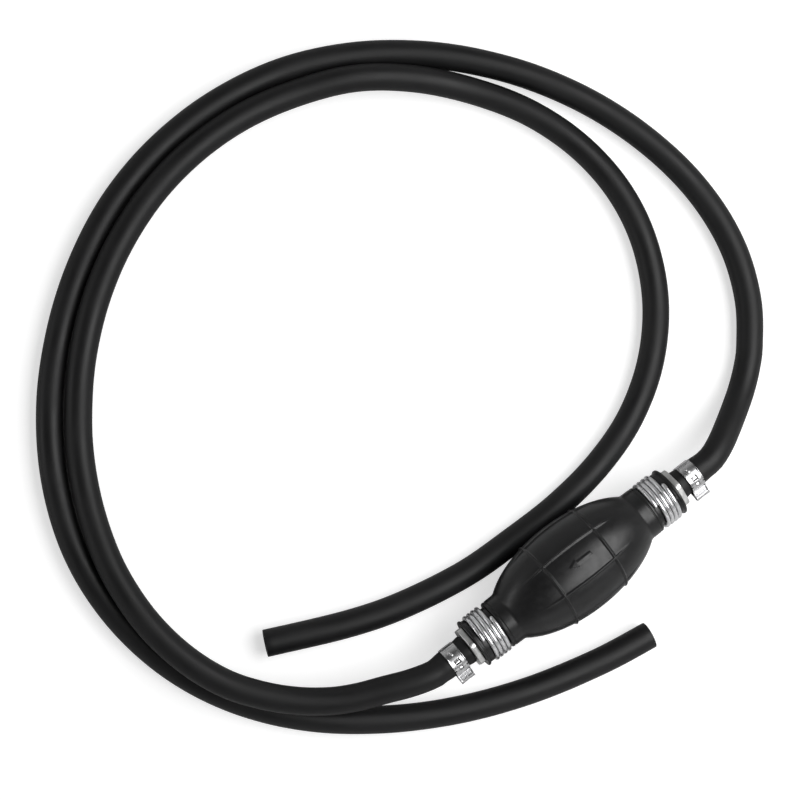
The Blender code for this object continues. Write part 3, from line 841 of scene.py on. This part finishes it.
class PUMP_OT_fittings(bpy.types.Operator):
    """Turns the two barbed fittings and mills their hexagonal flanges"""

    bl_idname = "pump.fittings"
    bl_label = "Turn Fittings"

    def execute(self, context):
        settings = context.scene.pump_fitting
        finish = turned_aluminium(settings.metal)
        for name, side in SIDES.items():
            body = spun([(side * x, r) for x, r in rounded(self.outline())], FITTING_STEPS)
            made = piece(f"{name}_barbed_fitting", body, finish, None)
            ring = piece(f"{name}_hexagon", self.hexagon(side, settings), finish, None)
            self.join(context, made, ring)
            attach(made, FIXED)
            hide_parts(f"{name}_fitting")
        return {"FINISHED"}

    def outline(self):
        """The fitting's closed section on the inlet side, outside first and back through the bore."""
        corners = [(46.4, 7.9, 0.2), (46.9, 8.3, 0.2)]
        for start in (49.0, 53.5, 58.0):
            corners += [(start, 8.3, 0.2), (start + 2.4, 8.9, 0.1), (start + 2.5, 8.3, 0.05)]
        corners += [(64.2, 8.3, 0.0), (64.2, 9.5, 0.0), (66.4, 9.5, 0.0), (66.4, 3.5, 0.0)]
        for start in (69.0, 73.6, 78.2):
            corners += [(start - 0.1, 3.5, 0.05), (start, 4.1, 0.05), (start + 3.4, 3.5, 0.2)]
        corners += [(83.6, 3.4, 0.2), (83.6, 2.5, 0.1), (61.5, 2.5, 0.1), (61.5, 6.9, 0.1)]
        corners += [(48.7, 6.9, 0.05), (48.7, 7.4, 0.0), (47.3, 7.4, 0.0), (47.3, 6.9, 0.05)]
        corners += [(46.4, 6.9, 0.1)]
        return [(x * MM, r * MM, rounding * MM) for x, r, rounding in corners]

    def hexagon(self, side, settings):
        shape = bmesh.new()
        corner = settings.across_flats / math.sqrt(3)
        bmesh.ops.create_circle(shape, cap_ends=True, segments=6, radius=corner)
        made = bmesh.ops.extrude_face_region(shape, geom=shape.faces[:])["geom"]
        moved = [item for item in made if isinstance(item, bmesh.types.BMVert)]
        bmesh.ops.translate(shape, verts=moved, vec=(0.0, 0.0, FLANGE_WIDTH))
        bmesh.ops.recalc_face_normals(shape, faces=shape.faces)
        upright = [edge for edge in shape.edges if abs(edge.verts[0].co.z - edge.verts[1].co.z) > MM]
        bmesh.ops.bevel(
            shape, geom=upright, offset=1.9 * MM, segments=8, profile=0.5, affect="EDGES", material=-1
        )
        rims = [
            edge
            for edge in shape.edges
            if abs(edge.verts[0].co.z - edge.verts[1].co.z) < 1e-6 and len(edge.link_faces) == 2
        ]
        bmesh.ops.bevel(
            shape, geom=rims, offset=0.35 * MM, segments=3, profile=0.5, affect="EDGES", material=-1
        )
        # The circle's axis becomes the flow axis, with one corner five degrees from the top.
        upright_turn = Matrix.Rotation(math.radians(90.0), 4, "Y")
        roll = Matrix.Rotation(FLANGE_ROLL, 4, "X")
        start = FLANGE_FROM if side > 0 else -FLANGE_FROM - FLANGE_WIDTH
        place = Matrix.Translation((start, 0.0, AXIS_Z))
        bmesh.ops.transform(shape, matrix=place @ roll @ upright_turn, verts=shape.verts)
        bmesh.ops.recalc_face_normals(shape, faces=shape.faces)
        return shape

    def join(self, context, body, ring):
        """Makes the turned body and the hexagon one solid."""
        union = body.modifiers.new("Union", "BOOLEAN")
        union.operation = "UNION"
        union.solver = "EXACT"
        union.object = ring
        context.view_layer.update()
        whole = bpy.data.meshes.new_from_object(body.evaluated_get(context.evaluated_depsgraph_get()))
        body.modifiers.clear()
        old = body.data
        body.data = whole
        bpy.data.meshes.remove(old)
        bpy.data.objects.remove(ring)
        whole.shade_smooth()
        whole.set_sharp_from_angle(angle=math.radians(30.0))


# ---------------------------------------------------------------- wire clamps


def coil(centre, start_angle, turns, pitch, radius, wire_radius, per_turn, sides):
    """A round wire with rounded tips, spun about the flow axis while it advances along it."""
    first_x = centre - pitch * turns / 2
    shape = bmesh.new()
    bmesh.ops.create_circle(shape, cap_ends=False, segments=sides, radius=wire_radius)
    # The circle stands across the wire's own direction at the start of the coil.
    stand = Matrix.Rotation(math.radians(90.0), 4, "X")
    lift = Matrix.Translation((first_x, 0.0, AXIS_Z + radius))
    about = Matrix.Translation((0.0, 0.0, AXIS_Z))
    begin = about @ Matrix.Rotation(-start_angle, 4, "X") @ about.inverted()
    bmesh.ops.transform(shape, matrix=begin @ lift @ stand, verts=shape.verts)
    first = shape.edges[:]
    wound = bmesh.ops.spin(
        shape,
        geom=shape.verts[:] + first,
        cent=(0.0, 0.0, AXIS_Z),
        axis=(-1.0, 0.0, 0.0),
        dvec=(pitch / per_turn, 0.0, 0.0),
        angle=math.tau * turns,
        steps=int(turns * per_turn),
        use_merge=False,
    )
    last = [item for item in wound["geom_last"] if isinstance(item, bmesh.types.BMEdge)]
    round_tip(shape, first, wire_radius)
    round_tip(shape, last, wire_radius)
    bmesh.ops.recalc_face_normals(shape, faces=shape.faces)
    return shape


def round_tip(shape, ring, radius):
    """Closes one end of a wire with a tapered dome."""
    verts = list({vert for edge in ring for vert in edge.verts})
    centre = sum((vert.co for vert in verts), Vector()) / len(verts)
    neighbour = next(
        edge.other_vert(verts[0]) for edge in verts[0].link_edges if edge.other_vert(verts[0]) not in verts
    )
    # Any point far enough round from the first gives the plane of the ring.
    aside = max(verts, key=lambda vert: (verts[0].co - centre).cross(vert.co - centre).length)
    normal = (verts[0].co - centre).cross(aside.co - centre).normalized()
    if normal.dot(neighbour.co - centre) > 0:
        normal = -normal
    for share, forward in ((0.98, 0.5), (0.88, 0.6), (0.66, 0.45), (0.35, 0.22)):
        made = bmesh.ops.extrude_edge_only(shape, edges=ring)["geom"]
        verts = [item for item in made if isinstance(item, bmesh.types.BMVert)]
        ring = [
            item
            for item in made
            if isinstance(item, bmesh.types.BMEdge) and all(vert in verts for vert in item.verts)
        ]
        centre = centre + normal * forward * radius
        for vert in verts:
            out = vert.co - centre
            out -= normal * out.dot(normal)
            vert.co = centre + out.normalized() * share * radius
    bmesh.ops.contextual_create(shape, geom=ring)


class PUMP_OT_wire_clamps(bpy.types.Operator):
    """Winds the two wire clamps that hold the necks on the fittings"""

    bl_idname = "pump.wire_clamps"
    bl_label = "Wind Wire Clamps"

    def execute(self, context):
        settings = context.scene.pump_clamp
        zinc = zinc_plate("zinc_wire", settings.zinc, 0.26, 0.34, (1500.0, 90.0, 90.0))
        for name, side in SIDES.items():
            wire = coil(
                side * WIRE_CENTRE,
                WIRE_START,
                WIRE_TURNS,
                settings.wire_pitch,
                WIRE_COIL_RADIUS,
                settings.wire_radius,
                per_turn=72,
                sides=16,
            )
            made = piece(f"{name}_wire_clamp", wire, zinc)
            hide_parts(f"{name}_neck_clamp")
        return {"FINISHED"}


# ---------------------------------------------------------------- band clamps


# The tongues pressed out of the strap: length along it and half size, in millimetres.
TONGUES = ((9.33, 1.4), (13.3, 1.1))


class PUMP_OT_band_clamps(bpy.types.Operator):
    """Folds the two stamped band clamps that hold the hoses on their barbs"""

    bl_idname = "pump.band_clamps"
    bl_label = "Fold Band Clamps"

    def execute(self, context):
        settings = context.scene.pump_clamp
        # The strip's zinc is the wire's plating darkened to three quarters: painted shade that dims the
        # strip's reflections.
        zinc = zinc_plate("zinc_strip_painted_shade", scaled(settings.zinc, 0.75), 0.22, 0.30, (120.0, 1400.0, 1400.0))
        for name, side in SIDES.items():
            centre = side * BAND_CENTRE
            band = self.strip(centre, self.under_path(), settings, ())
            under = piece(f"{name}_band_ring", band, zinc)
            self.thicken(under, settings)
            strap = self.strip(centre, self.over_path(), settings, self.windows())
            over = piece(f"{name}_band_strap", strap, zinc)
            self.thicken(over, settings)
            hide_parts(f"{name}_hose_clamp")
        return {"FINISHED"}

    def arc(self, radius, start, end):
        """Points (y, z) round the hose, angles in degrees from straight up towards +Y."""
        steps = max(2, round(abs(end - start) * math.pi / 180 * radius / (BAND_STEP * MM)))
        points = []
        for step in range(steps + 1):
            angle = math.radians(start + (end - start) * step / steps)
            points.append((radius * math.sin(angle), radius * math.cos(angle)))
        return points

    def line(self, points):
        """Points (y, z) every 0.3 mm along straight runs between the given ones, in millimetres."""
        made = []
        for (y0, z0), (y1, z1) in zip(points, points[1:]):
            steps = max(1, round(math.dist((y0, z0), (y1, z1)) / BAND_STEP))
            for step in range(1, steps + 1):
                t = step / steps
                made.append(((y0 + (y1 - y0) * t) * MM, (z0 + (z1 - z0) * t) * MM))
        return made

    def under_path(self):
        """The lower strip: from the hooked jaw under the latch, round the hose, to its hidden end."""
        jaw = [(-12.0, -0.1), (-12.2, -0.6), (-11.6, -1.15), (-9.4, -1.5), (-8.2, -1.9), (-7.35, -2.6)]
        return self.line([(-11.9, 0.3)] + jaw) + self.arc(BAND_UNDER_RADIUS, -111.0, -350.0)

    def over_path(self):
        """The upper strip: from its free end over the top to the ridged latch and its lip."""
        path = self.arc(BAND_OVER_RADIUS, 58.0, -68.0)
        ridged = [(-7.51, 3.03), (-7.7, 2.3), (-8.2, 2.75), (-8.45, 2.0), (-8.95, 2.4), (-9.2, 1.6)]
        ridged += [(-9.75, 2.05), (-10.1, 1.0), (-10.7, 1.8), (-11.2, 1.9), (-11.9, 1.2), (-12.3, 0.3)]
        ridged += [(-12.4, -0.5)]
        return path + self.line(ridged)

    def windows(self):
        """Slots round each tongue: lengths along the strip and distances across it, in millimetres."""
        slots = [(26.5, 30.0, -0.8, 1.1)]
        for middle, half in TONGUES:
            slots.append((middle + half - 0.7, middle + half, -half, half))
            slots.append((middle - half, middle + half, half - 0.65, half))
        for edge in (-3.9, 3.2):
            slots.append((12.9, 13.9, edge, edge + 0.7))
        return tuple(slots)

    def strip(self, centre, path, settings, slots):
        """A flat blank as wide as the strip, bent along the path."""
        travelled = [0.0]
        for a, b in zip(path, path[1:]):
            travelled.append(travelled[-1] + math.dist(a, b))
        shape = bmesh.new()
        columns = len(path) - 1
        bmesh.ops.create_grid(shape, x_segments=columns, y_segments=BAND_CELLS, size=0.5)
        half = settings.strip_width / 2
        doomed = []
        for face in shape.faces:
            middle = face.calc_center_median()
            column = (middle.x + 0.5) * columns
            low = int(column)
            along = travelled[low] + (travelled[low + 1] - travelled[low]) * (column - low)
            offset = middle.y * 2 * half
            for start, end, left, right in slots:
                if start * MM < along < end * MM and left * MM < offset < right * MM:
                    doomed.append(face)
                    break
        bmesh.ops.delete(shape, geom=doomed, context="FACES")
        for vert in shape.verts:
            index = round((vert.co.x + 0.5) * columns)
            y, z = path[index]
            offset = vert.co.y * 2 * half
            before = path[max(0, index - 1)]
            after = path[min(len(path) - 1, index + 1)]
            way = Vector((after[0] - before[0], after[1] - before[1])).normalized()
            out = Vector((way.y, -way.x))
            lift = self.emboss(travelled[index] / MM, offset / MM) * MM if slots else 0.0
            vert.co = (centre + offset, y + out.x * lift, AXIS_Z + z + out.y * lift)
        bmesh.ops.recalc_face_normals(shape, faces=shape.faces)
        return shape

    def emboss(self, along, offset):
        """Height of the pair of dimples and of the tongues in the windows, in millimetres."""
        lift = 0.0
        for place, side in ((3.7, -1.1), (5.0, -0.5)):
            away = math.dist((along, offset), (place, side))
            lift = max(lift, 0.4 * ridge(away, 0.75))
        for middle, half in TONGUES:
            if abs(along - middle) < half and abs(offset) < half:
                lift = max(lift, 0.45 * smoothstep(-half, half - 0.8, along - middle))
        lift = max(lift, 0.16 * smoothstep(3.35, 3.7, abs(offset)))
        return lift

    def thicken(self, made, settings):
        wall = made.modifiers.new("Wall", "SOLIDIFY")
        wall.thickness = settings.strip_thickness
        wall.offset = 0.0
        edge = made.modifiers.new("Edge", "BEVEL")
        edge.width = 0.1 * MM
        edge.segments = 2
        edge.limit_method = "ANGLE"
        edge.angle_limit = math.radians(50.0)


# ---------------------------------------------------------------- valves


class PUMP_OT_valves(bpy.types.Operator):
    """Winds the closing springs and gives the check valves inside the necks their finishes"""

    bl_idname = "pump.valves"
    bl_label = "Finish Valves"

    def execute(self, context):
        brass = plain_finish("turned_brass", (0.72, 0.50, 0.20), 0.22, 0.36, 1.0, 1800.0)
        nylon = plain_finish("moulded_nylon", (0.80, 0.79, 0.73), 0.38, 0.52, 0.0, 1500.0)
        nitrile = plain_finish("nitrile_disc", (0.022, 0.022, 0.022), 0.50, 0.66, 0.0, 2200.0)
        spring = plain_finish("spring_steel", (0.62, 0.62, 0.64), 0.18, 0.32, 1.0, 2400.0)
        finishes = {
            "valve_seat": brass,
            "poppet": nylon,
            "valve_cage": nylon,
            "valve_seal": nitrile,
            "snap_ring": spring,
        }
        for side in SIDES:
            for part, finish in finishes.items():
                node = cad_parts[f"{side}_{part}"]
                for slot in node.material_slots:
                    slot.material = finish
            self.closing_spring(side, spring)
        return {"FINISHED"}

    def closing_spring(self, side, finish):
        """A closing spring wound as long as the part it replaces; the real one shortens as the poppet
        opens.
        """
        low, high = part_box(f"{side}_valve_spring")
        wire = 0.25 * MM
        turns = 5.0
        pitch = (high.x - low.x - 2 * wire) / turns
        shape = coil((low.x + high.x) / 2, 0.0, turns, pitch, 3.0 * MM, wire, per_turn=36, sides=10)
        made = piece(f"{side}_closing_spring", shape, finish, None)
        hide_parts(f"{side}_valve_spring")
        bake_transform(made)


# ---------------------------------------------------------------- panel and main

STEPS = (
    PUMP_OT_stage,
    PUMP_OT_hoses,
    PUMP_OT_bulb,
    PUMP_OT_fittings,
    PUMP_OT_wire_clamps,
    PUMP_OT_band_clamps,
    PUMP_OT_valves,
)
SETTINGS = {
    "pump_bulb": BulbSettings,
    "pump_fitting": FittingSettings,
    "pump_clamp": ClampSettings,
    "pump_hose": HoseSettings,
    "pump_stage": StageSettings,
}


class PUMP_PT_panel(bpy.types.Panel):
    """Lists the pump's settings and building steps"""

    bl_idname = "PUMP_PT_panel"
    bl_label = "Siphon Pump"
    bl_space_type = "VIEW_3D"
    bl_region_type = "UI"
    bl_category = "Siphon Pump"

    def draw(self, context):
        layout = self.layout
        for name, group in SETTINGS.items():
            box = layout.box()
            for field in group.__annotations__:
                box.prop(getattr(context.scene, name), field)
        for step in STEPS:
            layout.operator(step.bl_idname)


def register():
    for group in SETTINGS.values():
        bpy.utils.register_class(group)
    for name, group in SETTINGS.items():
        setattr(bpy.types.Scene, name, bpy.props.PointerProperty(type=group))
    for step in STEPS:
        bpy.utils.register_class(step)
    bpy.utils.register_class(PUMP_PT_panel)


def unregister():
    bpy.utils.unregister_class(PUMP_PT_panel)
    for step in reversed(STEPS):
        bpy.utils.unregister_class(step)
    for name, group in SETTINGS.items():
        delattr(bpy.types.Scene, name)
        bpy.utils.unregister_class(group)


def plain(box):
    return [[float(value) for value in corner] for corner in box]


def main():
    register()
    bpy.ops.pump.stage()
    bpy.ops.pump.hoses()
    bpy.ops.pump.bulb()
    bpy.ops.pump.fittings()
    bpy.ops.pump.wire_clamps()
    bpy.ops.pump.band_clamps()
    bpy.ops.pump.valves()


if __name__ == "__main__":
    main()
